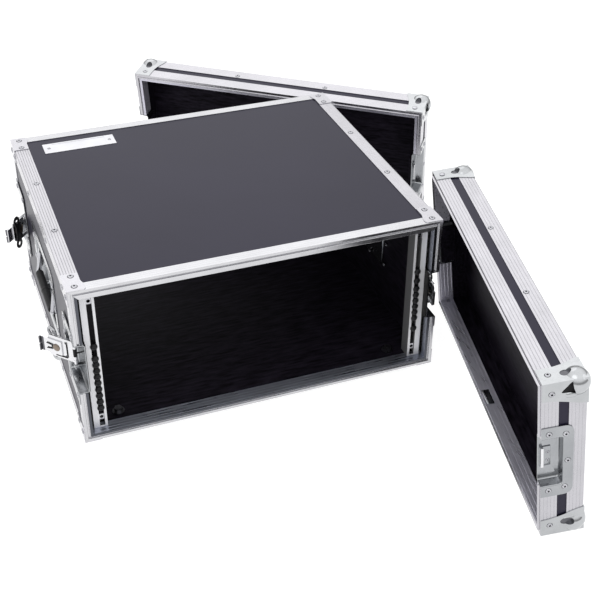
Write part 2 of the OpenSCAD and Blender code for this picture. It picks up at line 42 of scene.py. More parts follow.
# ---------------------------------------------------------------- dimensions, in millimetres
BZ = 121.3                     # outside of the top board
EX, EZ = 259.5, 122.5          # outside of the extrusions
CX, CZ = 260.5, 123.5          # outside of the corner braces
IX, IZ = 249.3, 112.3          # inside of the boards
Y0, Y1 = -14.0, 437.0          # front and rear rim planes
FLOOR = -138.0
LID_D = 55.4                   # depth of a lid
LID_LEAN = 6.92                # degrees a standing lid leans on its ball corners
WALL = 1.2                     # extrusion thickness
PLY = 9                        # board thickness
RIM_W = 11.2                   # width of a rim bar
LATCH_GAP = 39.5               # half of the gap that a latch dish leaves in a rim bar
DISH_TOP = 260.7               # flange of a latch dish or catch plate
DISH_FLOOR = 246.5             # floor of every dish
HANDLE_TOP = 259.6             # flange of a handle dish
HANDLE_Y = 211.5               # middle of the handles
ARM_X, ARM_Y = 253.8, 27       # hinge of a latch arm
HUB = 28.5                     # from the arm's hinge to its hub
HOOK_TRAVEL = 5                # draw of a hook over half a turn of its wing
BALL_IN, BALL_R = 10.7, 17     # centre of a ball corner from the lid's faces, and its radius
TIP = 6.5                      # what is left open at the very corner of a lid


def rot(axis, degrees):
    return Matrix.Rotation(math.radians(degrees), 4, axis)


def move(x, y, z):
    return Matrix.Translation((x, y, z))


FRONT_LID = move(296.55519, -113.23656, FLOOR) @ rot("Z", 77.6) \
    @ rot("X", -LID_LEAN) @ move(0, 0, CZ)
REAR_LID = move(212.80819, 522.48389, FLOOR) @ rot("Z", -37.99) \
    @ rot("X", LID_LEAN) @ move(0, 0, CZ)
FLIP_Y = Matrix.Scale(-1, 4, (0, 1, 0))
FLIP_X = Matrix.Scale(-1, 4, (1, 0, 0))
FLIP_Z = Matrix.Scale(-1, 4, (0, 0, 1))
LIDS = {"front": FRONT_LID @ FLIP_Y, "rear": REAR_LID}
REAR = move(0, Y0 + Y1, 0) @ FLIP_Y


# ---------------------------------------------------------------- material nodes
class Graph:
    """A material's node tree with short calls for the nodes used here."""

    def __init__(self, name):
        self.mat = bpy.data.materials.new(name)
        self.mat.use_nodes = True
        self.tree = self.mat.node_tree
        self.shader = self.tree.nodes["Principled BSDF"]

    def add(self, kind, **inputs):
        n = self.tree.nodes.new(kind)
        for key, value in inputs.items():
            self.put(n.inputs[key.replace("_", " ")], value)
        return n

    def put(self, socket, value):
        if isinstance(value, bpy.types.NodeSocket):
            self.tree.links.new(value, socket)
        else:
            socket.default_value = value

    def set(self, **inputs):
        for key, value in inputs.items():
            self.put(self.shader.inputs[key.replace("_", " ")], value)

    def where(self, matrix=None, stretch=(1, 1, 1)):
        """Rest coordinates in metres, or a lid's own coordinates, scaled per axis."""
        out = self.add("ShaderNodeTexCoord").outputs["Object"]
        if matrix is not None:
            inv = matrix.inverted()
            loc, turn, size = inv.decompose()
            out = self.add("ShaderNodeMapping", Vector=out, Location=loc * MM,
                           Rotation=turn.to_euler(), Scale=size).outputs[0]
        return self.add("ShaderNodeMapping", Vector=out, Scale=stretch).outputs[0]

    def noise(self, vec, scale, detail=4.0, rough=0.55):
        return self.add("ShaderNodeTexNoise", Vector=vec, Scale=scale, Detail=detail,
                        Roughness=rough).outputs["Fac"]

    def math(self, op, a, b=0.0):
        n = self.tree.nodes.new("ShaderNodeMath")
        n.operation = op
        for socket, value in zip(n.inputs, (a, b, 0.0)):
            self.put(socket, value)
        return n.outputs[0]

    def mix(self, fac, a, b):
        n = self.tree.nodes.new("ShaderNodeMix")
        n.data_type = "RGBA"
        self.put(n.inputs[0], fac)
        self.put(n.inputs[6], a if not isinstance(a, tuple) else (*a, 1))
        self.put(n.inputs[7], b if not isinstance(b, tuple) else (*b, 1))
        return n.outputs[2]

    def bump(self, height, strength, distance):
        return self.add("ShaderNodeBump", Height=height, Strength=strength,
                        Distance=distance).outputs[0]

    def range(self, value, lo, hi, to_lo, to_hi):
        n = self.tree.nodes.new("ShaderNodeMapRange")
        for key, v in zip(range(5), (value, lo, hi, to_lo, to_hi)):
            self.put(n.inputs[key], v)
        return n.outputs[0]


def metal(name, light, dark, rough, streak=(1, 1, 1), grain=900, metallic=1.0, bump=0.06, wear=0.25,
          dull=None):
    g = Graph(name)
    here = g.where(stretch=streak)
    fine = g.noise(here, grain, 3)
    broad = g.noise(g.where(), 22, 3)
    tone = g.mix(g.range(broad, 0.3, 0.7, 0.0, 1.0), dark, light)
    tone = g.mix(g.math("MULTIPLY", fine, wear), tone, tuple(c * 0.72 for c in light))
    # dull gives two distances in mm from the case's middle in y and the blend at each; where the
    # blend is 1 the tone is painted down to a fifth of the light tone, as painted shade
    if dull:
        y = g.add("ShaderNodeSeparateXYZ", Vector=g.where()).outputs[1]
        from_middle = g.math("ABSOLUTE", g.math("SUBTRACT", y, (Y0 + Y1) / 2 * MM))
        tone = g.mix(g.range(from_middle, dull[0] * MM, dull[1] * MM, *dull[2:]), tone,
                     tuple(c * 0.2 for c in light))
    g.set(Base_Color=tone, Metallic=metallic,
          Roughness=g.range(fine, 0.3, 0.7, rough - 0.05, rough + 0.08),
          Normal=g.bump(fine, bump, 0.0003))
    return g.mat


def laminate(name, matrix=None, inside_y=None, across=False):
    """Dark laminate outside, black stained grain inside, thin ply layers on the cut edges."""
    g = Graph(name)
    here = g.where(matrix)
    apart = g.add("ShaderNodeSeparateXYZ", Vector=here)
    x, y, z = apart.outputs
    depth = g.math("MAXIMUM", g.math("SUBTRACT", g.math("ABSOLUTE", x), IX * MM),
                   g.math("SUBTRACT", g.math("ABSOLUTE", z), IZ * MM))
    if inside_y is not None:
        depth = g.math("MAXIMUM", depth, g.math("SUBTRACT", y, inside_y * MM))
    outer = g.range(depth, 0.0084, 0.0086, 0.0, 1.0)
    inner = g.range(depth, 0.0004, 0.0006, 1.0, 0.0)
    # laminate
    speck = g.noise(here, 1500, 2)
    cloud = g.noise(here, 7, 3)
    skin = g.mix(g.range(cloud, 0.3, 0.7, 0, 1), (0.0062, 0.0054, 0.0155), (0.0086, 0.0075, 0.0195))
    skin = g.mix(g.range(speck, 0.5, 0.8, 0, 0.3), skin, (0.022, 0.020, 0.034))
    # grain inside
    run = (26, 4, 26) if across else (4, 26, 26)
    grain = g.noise(g.add("ShaderNodeMapping", Vector=here, Scale=run).outputs[0], 9, 6, 0.65)
    run = (110, 9, 110) if across else (9, 110, 110)
    pores = g.noise(g.add("ShaderNodeMapping", Vector=here, Scale=run).outputs[0], 8, 3)
    wood = g.mix(g.range(grain, 0.35, 0.7, 0, 1), (0.0016, 0.0013, 0.0021),
                 (0.0170, 0.0140, 0.0220))
    # ply layers
    layers = g.math("PINGPONG", g.math("MULTIPLY", depth, 620.0), 1.0)
    ply = g.mix(g.range(layers, 0.35, 0.65, 0, 1), (0.012, 0.010, 0.010), (0.03, 0.025, 0.022))
    colour = g.mix(outer, g.mix(inner, ply, wood), skin)
    height = g.math("ADD", g.math("MULTIPLY", g.math("MULTIPLY", pores, inner), 1.0),
                    g.math("MULTIPLY", g.math("MULTIPLY", speck, outer), 0.25))
    g.set(Base_Color=colour,
          Roughness=g.range(outer, 0, 1, 0.42, 0.4),
          Specular_Tint=(0.86, 0.83, 1.0, 1.0),
          Specular_IOR_Level=g.range(outer, 0, 1, 0.03, 0.29),
          Normal=g.bump(height, 0.25, 0.0004))
    return g.mat


def plain(name, colour, other, rough, scale=600, bump=0.2, metallic=0.0):
    g = Graph(name)
    here = g.where()
    grain = g.noise(here, scale, 4)
    broad = g.noise(here, 30, 3)
    tone = g.mix(g.range(broad, 0.3, 0.7, 0, 1), colour, other)
    g.set(Base_Color=tone, Metallic=metallic, Specular_IOR_Level=0.22,
          Roughness=g.range(grain, 0.3, 0.7, rough - 0.06, rough + 0.06),
          Normal=g.bump(grain, bump, 0.0003))
    return g.mat


MAT = {
    "alu": metal("fluted_aluminium", (0.50, 0.492, 0.522), (0.45, 0.445, 0.47), 0.22, (1, 0.08, 1),
                 grain=500, bump=0.01, wear=0.1),
    "rim": metal("rim_aluminium", (0.56, 0.56, 0.58), (0.51, 0.51, 0.53), 0.24, (0.08, 1, 0.08),
                 grain=400, bump=0.006, wear=0.1),
    # the liner's faces at the rim planes are painted down to a fifth of the tone: painted shade and
    # a painted reflection of the dark inside
    "liner": metal("case_rim_liner", (0.42, 0.44, 0.51), (0.36, 0.38, 0.44), 0.3, (0.05, 1, 1),
                   grain=300, bump=0.0, wear=0.1, dull=(225.1, 225.4, 0, 1)),
    "lid_liner": metal("lid_rim_liner", (0.62, 0.61, 0.69), (0.52, 0.51, 0.59), 0.3, (1, 0.05, 1),
                       grain=300, bump=0.0, wear=0.1, metallic=0.75),
    # the zinc plate is darker than the other zinc parts, partly as painted shade in the pockets of
    # the dishes
    "zinc": metal("zinc_plate", (0.37, 0.38, 0.395), (0.30, 0.31, 0.325), 0.17, grain=260,
                  bump=0.008),
    "ball": metal("ball_corner_zinc", (0.48, 0.49, 0.505), (0.40, 0.41, 0.42), 0.13, grain=200,
                  bump=0.006),
    "steel": metal("hardware_zinc", (0.50, 0.50, 0.53), (0.40, 0.40, 0.43), 0.18, grain=500,
                   bump=0.02),
    # dark copy of the hardware zinc: on the latch claws and in the ball corner cuts its darkness is
    # painted shade
    "dull_steel": metal("latch_hook_steel_and_painted_shade", (0.16, 0.16, 0.175), (0.10, 0.10, 0.11), 0.3,
                        grain=500, bump=0.02),
    "arm": metal("latch_arm_zinc", (0.74, 0.74, 0.76), (0.66, 0.66, 0.68), 0.2, grain=400,
                 bump=0.01),
    "brace": metal("corner_brace_zinc", (0.54, 0.535, 0.565), (0.49, 0.485, 0.515), 0.2,
                   grain=300, bump=0.01),
    # all faces of a rail behind its front face are painted down to a fifth of the tone: painted
    # shade on its sides and back
    "rail": metal("rail_zinc", (0.70, 0.70, 0.72), (0.62, 0.625, 0.65), 0.34, (1, 1, 0.1),
                  metallic=0.3, dull=(212.7, 213.2, 1, 0)),
    "wing": metal("latch_wing_zinc", (0.50, 0.51, 0.52), (0.38, 0.385, 0.40), 0.22, grain=400,
                  bump=0.02),
    "brass": metal("yellow_zinc", (0.26, 0.215, 0.18), (0.19, 0.155, 0.13), 0.3, grain=600),
    "black_steel": plain("black_coated_steel", (0.010, 0.010, 0.011), (0.02, 0.02, 0.022), 0.34,
                         900, 0.08, 0.3),
    "rubber": plain("black_rubber", (0.008, 0.008, 0.009), (0.016, 0.016, 0.017), 0.55),
    "nylon": plain("black_nylon", (0.006, 0.006, 0.007), (0.012, 0.012, 0.013), 0.42, 400, 0.05),
    "black_wood": plain("black_batten", (0.006, 0.006, 0.006), (0.013, 0.012, 0.012), 0.6, 300,
                        0.3),
    # near-black painted shade for the rivets' seams and holes and the cuts in the upper ball
    # corners
    "pit": plain("painted_recess_shade", (0.004, 0.004, 0.005), (0.008, 0.008, 0.009), 0.7),
    "plate": metal("name_plate_silver", (0.70, 0.70, 0.73), (0.62, 0.62, 0.65), 0.34, (0.1, 1, 1)),
    "board": laminate("case_laminate"),
    "end_board": laminate("case_end_laminate", across=True),
    "front_board": laminate("front_lid_laminate", LIDS["front"], LID_D - WALL - PLY),
    "rear_board": laminate("rear_lid_laminate", LIDS["rear"], LID_D - WALL - PLY),
}


def dress(node, key, bevel=0.0):
    obj = nodes[node]
    obj.data.materials.clear()
    obj.data.materials.append(MAT[key])
    if bevel:
        mod = obj.modifiers.new("edge", "BEVEL")
        mod.width, mod.segments, mod.limit_method = bevel * MM, 2, "ANGLE"
        mod.angle_limit = math.radians(40)
        mod.harden_normals = False


for name in nodes:
    if name.endswith("_board") and "lid" not in name:
        dress(name, "end_board" if name.startswith(("left", "right")) else "board")
    elif name.startswith(("front_lid", "rear_lid")) and name.endswith(("_board", "_walls")):
        dress(name, name.split("_")[0] + "_board")
    elif name.endswith(("_rim", "_edges")) or name == "edge_angles":
        dress(name, "alu")
    elif name.endswith("_balls"):
        dress(name, "ball")
    elif name.endswith("_catches") or name in ("latch_dishes", "handle_dishes"):
        dress(name, "zinc")
    elif name == "corner_braces":
        dress(name, "brace", 0.45)
    elif name == "handle_lugs":
        dress(name, "zinc", 0.45)
    elif name in ("foot_bolts", "rail_bolts"):
        dress(name, "dull_steel" if name == "foot_bolts" else "black_steel")
    elif name in ("left_rail", "right_rail"):
        dress(name, "rail", 0.25)
    elif name == "rail_battens":
        dress(name, "black_wood")
    elif name in ("feet", "left_grip", "right_grip"):
        dress(name, "rubber")
    elif name == "screw_washers":
        dress(name, "nylon")
    elif name.endswith("_hub"):
        dress(name, "brass", 0.3)
    elif name in ("latch_springs", "rack_screws"):
        dress(name, "black_steel", 0.2)
    elif name.endswith("_hook"):
        dress(name, "arm", 0.28)
    elif name == "name_plate":
        dress(name, "plate", 0.3)
    else:
        dress(name, "steel")


# ---------------------------------------------------------------- mesh helpers
def mesh_object(name, bm, matrix, key, body, *replaced, slot=None, smooth=None):
    """Finishes a bmesh made in millimetres as a piece riding on a CAD body."""
    bm.transform(matrix)
    bm.transform(Matrix.Scale(MM, 4))
    bmesh.ops.recalc_face_normals(bm, faces=bm.faces)
    mesh = bpy.data.meshes.new(name)
    bm.to_mesh(mesh)
    bm.free()
    keys = [key] if isinstance(key, str) else key
    for k in keys:
        mesh.materials.append(MAT[k])
    obj = bpy.data.objects.new(name, mesh)
    bpy.context.scene.collection.objects.link(obj)
    if smooth:
        mesh.polygons.foreach_set("use_smooth", [True] * len(mesh.polygons))
        mesh.set_sharp_from_angle(angle=math.radians(smooth))
    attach(obj, body)
    for node in replaced:
        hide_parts(node)
    return obj


def loft(bm, rings):
    """Closed tube through rings of equally many points, capped at both ends."""
    made = [[bm.verts.new(p) for p in ring] for ring in rings]
    n = len(made[0])
    for a, b in zip(made, made[1:]):
        for i in range(n):
            bm.faces.new((a[i], a[(i + 1) % n], b[(i + 1) % n], b[i]))
    bm.faces.new(made[0][::-1])
    bm.faces.new(made[-1])


def fluted(start, end, out, pitch=3.1, width=0.8, depth=0.32, lead=2.4):
    """Points from start to end with shallow V grooves, cut against the outward direction."""
    (x0, y0), (x1, y1) = start, end
    length = math.hypot(x1 - x0, y1 - y0)
    dx, dy = (x1 - x0) / length, (y1 - y0) / length
    count = int((length - 2 * lead) / pitch) + 1
    first = (length - (count - 1) * pitch) / 2
    points = [start]
    for i in range(count):
        at = first + i * pitch
        for s, d in ((at - width / 2, 0), (at, depth), (at + width / 2, 0)):
            points.append((x0 + dx * s - out[0] * d, y0 + dy * s - out[1] * d))
    points.append(end)
    return points


def round_corner(before, corner, after, r):
    """Arc points that round the corner between two axis-aligned directions."""
    bx, by = [(b - c) for b, c in zip(before, corner)]
    ax, ay = [(a - c) for a, c in zip(after, corner)]
    lb, la = math.hypot(bx, by), math.hypot(ax, ay)
    ub, ua = (bx / lb, by / lb), (ax / la, ay / la)
    cx, cy = corner[0] + r * (ub[0] + ua[0]), corner[1] + r * (ub[1] + ua[1])
    out, steps = [], 4
    for i in range(steps + 1):
        t = math.pi / 2 * i / steps
        out.append((cx - r * (ua[0] * math.cos(t) + ub[0] * math.sin(t)),
                    cy - r * (ua[1] * math.cos(t) + ub[1] * math.sin(t))))
    return out


def inner_leg(w, leg, lip=4.4):
    """From the inner corner of a rim bar back along the inside of the board."""
    face = [(w, lip + 1.6), (RIM_W, lip + 2.2)] if w > RIM_W else []
    return face + [(RIM_W, leg), (RIM_W - 1, leg), (RIM_W - 1, lip), (WALL, lip)]


def liner_profile(end, start=None):
    """Ribbed inner leg of a rim extrusion on the inside of the board, with its step at the rim."""
    front = [(10.3, start)] if start else [(10.3, 0.5), (7.6, 0.5), (7.6, -0.12)]
    ribs = fluted((11.45, start or -0.12), (11.45, end), (1, 0), pitch=5.6, width=1.1, depth=0.25,
                  lead=2.0)
    return ribs + [(10.3, end)] + front


def groove_profile(w=RIM_W):
    """Case rim: p runs inwards from the outer face, q back from the rim plane."""
    outer = fluted((0, 16.5), (0, 1.2), (-1, 0), pitch=4.2, depth=0.25, lead=2.0)
    return (outer + round_corner((0, 16.5), (0, 0), (3.1, 0), 0.7)[1:]
            + [(3.9, 0), (4.2, 0.3), (4.2, 2.8), (7.0, 2.8), (7.0, 0.3), (7.3, 0)]
            + round_corner((w - 1.5, 0), (w, 0), (w, 6), 0.7) + inner_leg(w, 16.5)
            + [(WALL, 16.5)])


def tongue_profile():
    """Lid rim, with the tongue that enters the case rim's groove."""
    w = RIM_W
    outer = fluted((0, 21), (0, 1.0), (-1, 0), pitch=4.4, depth=0.25, lead=2.2)
    return (outer + round_corner((0, 21), (0, 0), (3.1, 0), 0.7)[1:]
            + [(4.4, 0), (5.2, -2.2), (6.0, -2.2), (6.8, 0)]
            + round_corner((w - 1.5, 0), (w, 0), (w, 3), 0.7) + inner_leg(w, 14, 1.4)
            + [(WALL, 21)])


def angle_profile(w, pitch=3.6):
    """L section with its outside corner at the origin, legs along +x and +y."""
    r = 1.6
    leg_y = fluted((0, w), (0, r), (-1, 0), pitch=pitch, depth=0.25)
    leg_x = fluted((r, 0), (w, 0), (0, -1), pitch=pitch, depth=0.25)
    return (leg_y[:-1] + round_corner((0, w), (0, 0), (w, 0), r) + leg_x[1:]
            + [(w, WALL), (WALL, WALL), (WALL, w)])


def frame_bars(bm, profile, hw, hh, stop=0.1, split=None, level=None):
    """Four mitred bars round an opening in x and z. Profile points are (inwards, along y).
    level holds other sections for the lower and the upper bar."""
    def bar(place, half, lo=None, section=profile):
        rings = []
        for end in (-1, 1):
            ring = []
            for p, q in section:
                s = end * (half - max(stop, p + 0.1))
                if lo is not None and end == -1:
                    s = lo
                ring.append(place(s, p, q))
            rings.append(ring)
        loft(bm, rings)
    for sign in (-1, 1):
        bar(lambda s, p, q, g=sign: (s, q, g * (hh - p)), hw,
            section=level[sign > 0] if level else profile)
        if split:
            for up in (-1, 1):
                bar(lambda s, p, q, g=sign, u=up: (g * (hw - p), q, u * s), hh, split)
        else:
            bar(lambda s, p, q, g=sign: (g * (hw - p), q, s), hh)


def extrusions():
    for end, place in (("front", move(0, Y0, 0)), ("rear", REAR @ move(0, Y0, 0))):
        bm = bmesh.new()
        frame_bars(bm, groove_profile(), EX, EZ, split=LATCH_GAP,
                   level=(groove_profile(), groove_profile(14.0)))
        mesh_object(end + "_rim_bars", bm, place, "rim", "case", end + "_rim", slot="extrusion")
        bm = bmesh.new()
        frame_bars(bm, liner_profile(11.5), EX, EZ, split=LATCH_GAP,
                   level=(liner_profile(21), liner_profile(24, 6.5)))
        mesh_object(end + "_rim_liners", bm, place, "liner", "case")
    bm = bmesh.new()
    for sx in (-1, 1):
        for sz in (-1, 1):
            section = angle_profile(21.5)
            loft(bm, [[(sx * (EX - p), y, sz * (EZ - q)) for p, q in section]
                      for y in (Y0 + 16.7, Y1 - 16.7)])
    mesh_object("long_edge_angles", bm, Matrix(), "alu", "case", "edge_angles", slot="extrusion")
    for lid, place in LIDS.items():
        bm = bmesh.new()
        frame_bars(bm, tongue_profile(), EX, EZ, split=LATCH_GAP)
        mesh_object(lid + "_lid_rim_bars", bm, place, "alu", lid + "_lid", lid + "_lid_rim",
                    slot="extrusion")
        bm = bmesh.new()
        frame_bars(bm, liner_profile(21), EX, EZ, split=LATCH_GAP)
        mesh_object(lid + "_lid_rim_liners", bm, place, "lid_liner", lid + "_lid")
        bm = bmesh.new()
        section = [(p, LID_D - q) for p, q in angle_profile(22.0, pitch=4.4)]
        frame_bars(bm, section, EX, EZ, stop=7.0)
        mesh_object(lid + "_lid_edge_bars", bm, place, "alu", lid + "_lid",
                    lid + "_lid_edges", slot="extrusion")


extrusions()


# ---------------------------------------------------------------- sheet metal and rivets
def lathe(bm, profile, matrix, segments=24, material=None):
    """Turns (radius, height) points about the matrix's z axis."""
    rings = []
    for r, h in profile:
        if r == 0:
            rings.append([bm.verts.new(matrix @ Vector((0, 0, h)))])
        else:
            rings.append([bm.verts.new(matrix @ Vector((r * math.cos(t), r * math.sin(t), h)))
                          for t in (2 * math.pi * i / segments for i in range(segments))])
    for k, (a, b) in enumerate(zip(rings, rings[1:])):
        for i in range(segments):
            j = (i + 1) % segments
            if len(a) == 1:
                f = bm.faces.new((a[0], b[j], b[i]))
            elif len(b) == 1:
                f = bm.faces.new((a[i], a[j], b[0]))
            else:
                f = bm.faces.new((a[i], a[j], b[j], b[i]))
            if material:
                f.material_index = material[k]


# tubular rivet head as (radius, height), in a seam painted near-black as shade, with the lower wall
# and floor of its hole painted the same, and the material of each step
RIVET = [(0, -0.2), (4.35, -0.2), (4.35, 0.08), (3.95, 0.08), (3.9, 0.3), (3.5, 0.95), (2.7, 1.4),
         (2.0, 1.5), (1.55, 1.3), (1.4, 0.7), (1.3, 0.1), (0, 0.1)]
RIVET_MAT = [1, 1, 1, 0, 0, 0, 0, 0, 0, 1, 1]


def facing(at, normal):
    """Matrix that stands z on the given direction at a point."""
    q = Vector((0, 0, 1)).rotation_difference(Vector(normal))
    return Matrix.Translation(at) @ q.to_matrix().to_4x4()


def rivets(name, spots, matrix, body, *replaced, scale=1.0, slot="hardware_steel"):
    bm = bmesh.new()
    for at, normal in spots:
        lathe(bm, [(r * scale, h * scale) for r, h in RIVET], facing(at, normal), 20, RIVET_MAT)
    # the second material paints each rivet's seam and hole near-black as shade
    return mesh_object(name, bm, matrix, ["steel", "pit"], body, *replaced, slot=slot, smooth=35)


def round_rect(hw, hh, r, steps=6):
    pts = []
    for cx, cy, start in ((hw - r, hh - r, 0), (r - hw, hh - r, 90), (r - hw, r - hh, 180),
                          (hw - r, r - hh, 270)):
        for i in range(steps + 1):
            t = math.radians(start + 90 * i / steps)
            pts.append((cx + r * math.cos(t), cy + r * math.sin(t)))
    return pts


def pan(bm, outer, inner, depth, cut=False):
    """Pressed dish in (s, t, d): a flange round a pocket, cut at s = 0 where it is open."""
    hw, hh, r = inner
    thick, fillet, low = 1.1, 1.6, 2.4      # sheet, bend at the flange, bend at the floor
    # holes, heights and radii from the flange's edge to the pocket floor
    steps = [(round_rect(*outer), 0.0)]
    for ang in (0, 30, 60, 90):
        a = math.radians(ang)
        grow = fillet * (1 - math.sin(a))
        steps.append((round_rect(hw + grow, hh + grow, r + grow), -fillet * (1 - math.cos(a))))
    for ang in (0, 30, 60, 90):
        a = math.radians(ang)
        shrink = 0.4 + low * (1 - math.cos(a))
        steps.append((round_rect(hw - shrink, hh - shrink, max(r - shrink, 0.8)),
                      -(depth - low * (1 - math.sin(a)))))
    rings = [[bm.verts.new((x, y, z)) for x, y in pts] for pts, z in steps]
    faces = []
    n = len(rings[0])
    for a, b in zip(rings, rings[1:]):
        for i in range(n):
            faces.append(bm.faces.new((a[i], a[(i + 1) % n], b[(i + 1) % n], b[i])))
    faces.append(bm.faces.new(rings[-1]))
    if cut:
        geom = list(bm.verts) + list(bm.edges) + list(bm.faces)
        bmesh.ops.bisect_plane(bm, geom=geom, plane_co=(0, 0, 0), plane_no=(-1, 0, 0),
                               clear_outer=True)
    bmesh.ops.recalc_face_normals(bm, faces=bm.faces)
    top = max(bm.faces, key=lambda f: f.calc_center_median().z)
    if top.normal.z < 0:
        bmesh.ops.reverse_faces(bm, faces=bm.faces)
    bmesh.ops.solidify(bm, geom=list(bm.faces), thickness=thick)


def box(bm, lo, hi, bevel=0.0, material=0):
    """Box between two corners with rounded edges."""
    part = bmesh.new()
    bmesh.ops.create_cube(part, size=1)
    size = [h - l for l, h in zip(lo, hi)]
    mid = [(h + l) / 2 for l, h in zip(lo, hi)]
    bmesh.ops.transform(part, matrix=Matrix.Translation(mid) @ Matrix.Diagonal((*size, 1)),
                        verts=part.verts)
    if bevel:
        bmesh.ops.bevel(part, geom=list(part.edges), offset=bevel, segments=2, affect="EDGES",
                        profile=0.5)
    for f in part.faces:
        f.material_index = material
    merge(bm, part)


def merge(bm, part, matrix=Matrix()):
    part.transform(matrix)
    mesh = bpy.data.meshes.new("part")
    part.to_mesh(mesh)
    part.free()
    if matrix.determinant() < 0:
        mesh.flip_normals()
    bm.from_mesh(mesh)
    bpy.data.meshes.remove(mesh)


def prism(points, lo, hi, matrix, bevel=0.0):
    """Plate with the given outline between two heights."""
    bm = bmesh.new()
    ring = [bm.verts.new((x, y, lo)) for x, y in points]
    top = [bm.verts.new((x, y, hi)) for x, y in points]
    n = len(points)
    bm.faces.new(ring[::-1])
    bm.faces.new(top)
    for i in range(n):
        bm.faces.new((ring[i], ring[(i + 1) % n], top[(i + 1) % n], top[i]))
    bmesh.ops.recalc_face_normals(bm, faces=bm.faces)
    if bevel:
        edges = [e for e in bm.edges if all(abs(v.co.z - hi) < 1e-6 for v in e.verts)]
        bmesh.ops.bevel(bm, geom=edges, offset=bevel, segments=2, affect="EDGES", profile=0.5)
    bm.transform(matrix)
    if matrix.determinant() < 0:
        bmesh.ops.reverse_faces(bm, faces=bm.faces)
    return bm


def combine(base, others):
    """Boolean of closed meshes: others is a list of (operation, bmesh). Returns a bmesh."""
    def to_object(bm):
        mesh = bpy.data.meshes.new("tool")
        bm.to_mesh(mesh)
        bm.free()
        obj = bpy.data.objects.new("tool", mesh)
        bpy.context.scene.collection.objects.link(obj)
        return obj
    main = to_object(base)
    tools = []
    for op, bm in others:
        tool = to_object(bm)
        tools.append(tool)
        mod = main.modifiers.new("b", "BOOLEAN")
        mod.operation, mod.solver, mod.object = op, "EXACT", tool
    bpy.context.view_layer.update()
    done = main.evaluated_get(bpy.context.evaluated_depsgraph_get())
    out = bmesh.new()
    mesh = done.to_mesh()
    out.from_mesh(mesh)
    done.to_mesh_clear()
    for o in [main, *tools]:
        mesh = o.data
        bpy.data.objects.remove(o)
        bpy.data.meshes.remove(mesh)
    return out


def sphere(centre, radii, u=48, v=24):
    bm = bmesh.new()
    bmesh.ops.create_uvsphere(bm, u_segments=u, v_segments=v, radius=1)
    bm.transform(Matrix.Translation(centre) @ Matrix.Diagonal((*radii, 1)))
    return bm


def disc(y, z, r, steps=24):
    return [(y + r * math.cos(t), z + r * math.sin(t)) for t in
            (2 * math.pi * i / steps for i in range(steps))]


# swap axes so that an outline drawn in x and y lies on another face
ON_TOP = Matrix.Identity(4)
ON_END = Matrix(((0, 0, 1, 0), (1, 0, 0, 0), (0, 1, 0, 0), (0, 0, 0, 1)))      # (b, z, a)
ON_FACE = Matrix(((1, 0, 0, 0), (0, 0, 1, 0), (0, 1, 0, 0), (0, 0, 0, 1)))     # (a, z, b)


def ball_corner(low):
    """The corner at +a, +z in a lid's own frame, for the top or the bottom of the lid."""
    centre = (EX - BALL_IN, LID_D - BALL_IN, EZ - BALL_IN)
    deep = LID_D + 1
    top = [(232.5, 0.4), (CX, 0.4), (CX, deep), (222, deep), (223.2, 50), (226.5, 42), (230, 33),
           (232, 22), (232.5, 12)]
    end = [(0.4, 97), (0.4, CZ), (deep, CZ), (deep, 85), (49, 86), (40, 88.6), (30, 92),
           (20, 94.6), (10, 96.3)]
    face = [(222, CZ), (222, 108), (228, 104.5), (233, 99.5), (236.5, 93), (238, 85), (CX, 85),
            (CX, CZ)]
    base = sphere(centre, (BALL_R,) * 3, 64, 32)
    tools = [("UNION", prism(top, EZ, CZ, ON_TOP)), ("UNION", prism(end, EX, CX, ON_END)),
             ("UNION", prism(face, LID_D, LID_D + 1, ON_FACE)),
             ("UNION", sphere((EX, 36, 101.5), (2.8, 9, 4.4), 32, 16)),
             ("UNION", sphere((235.5, LID_D, 111), (6.5, 2.6, 9.5), 32, 16))]
    inside = bmesh.new()
    box(inside, (EX - 60, -1, EZ - 60), (EX, LID_D, EZ))
    tip = bmesh.new()
    box(tip, (EX - TIP, LID_D - TIP, EZ - TIP), (EX + 5, LID_D + 5, EZ + 5))
    inside = combine(inside, [("DIFFERENCE", tip)])
    tools.append(("DIFFERENCE", inside))
    oval = [(246 + 5.2 * math.cos(t), 32.5 + 6.8 * math.sin(t)) for t in
            (2 * math.pi * i / 28 for i in range(28))]
    tri = [(36.8, 121), (34, 119), (30, 114.5), (26, 110.5), (23.6, 107.6), (24.4, 106.2),
           (29, 105.8), (34, 105.4), (39.5, 105.2), (38.6, 109), (37.2, 113), (36.8, 117)]
    if low:
        tri = disc(34, 104, 5.4, 28)
        tri = [(34 + (b - 34) * 1.6, z) for b, z in tri]
        tools.append(("UNION", sphere((EX, 38.5, 104), (3.2, 6.5, 4.6), 32, 16)))
    tools.append(("DIFFERENCE", prism(oval, EZ - 1, CZ + 8, ON_TOP)))
    tools.append(("DIFFERENCE", prism(tri, EX - 1, CX + 8, ON_END)))
    bm = combine(base, tools)
    return bm, oval, tri


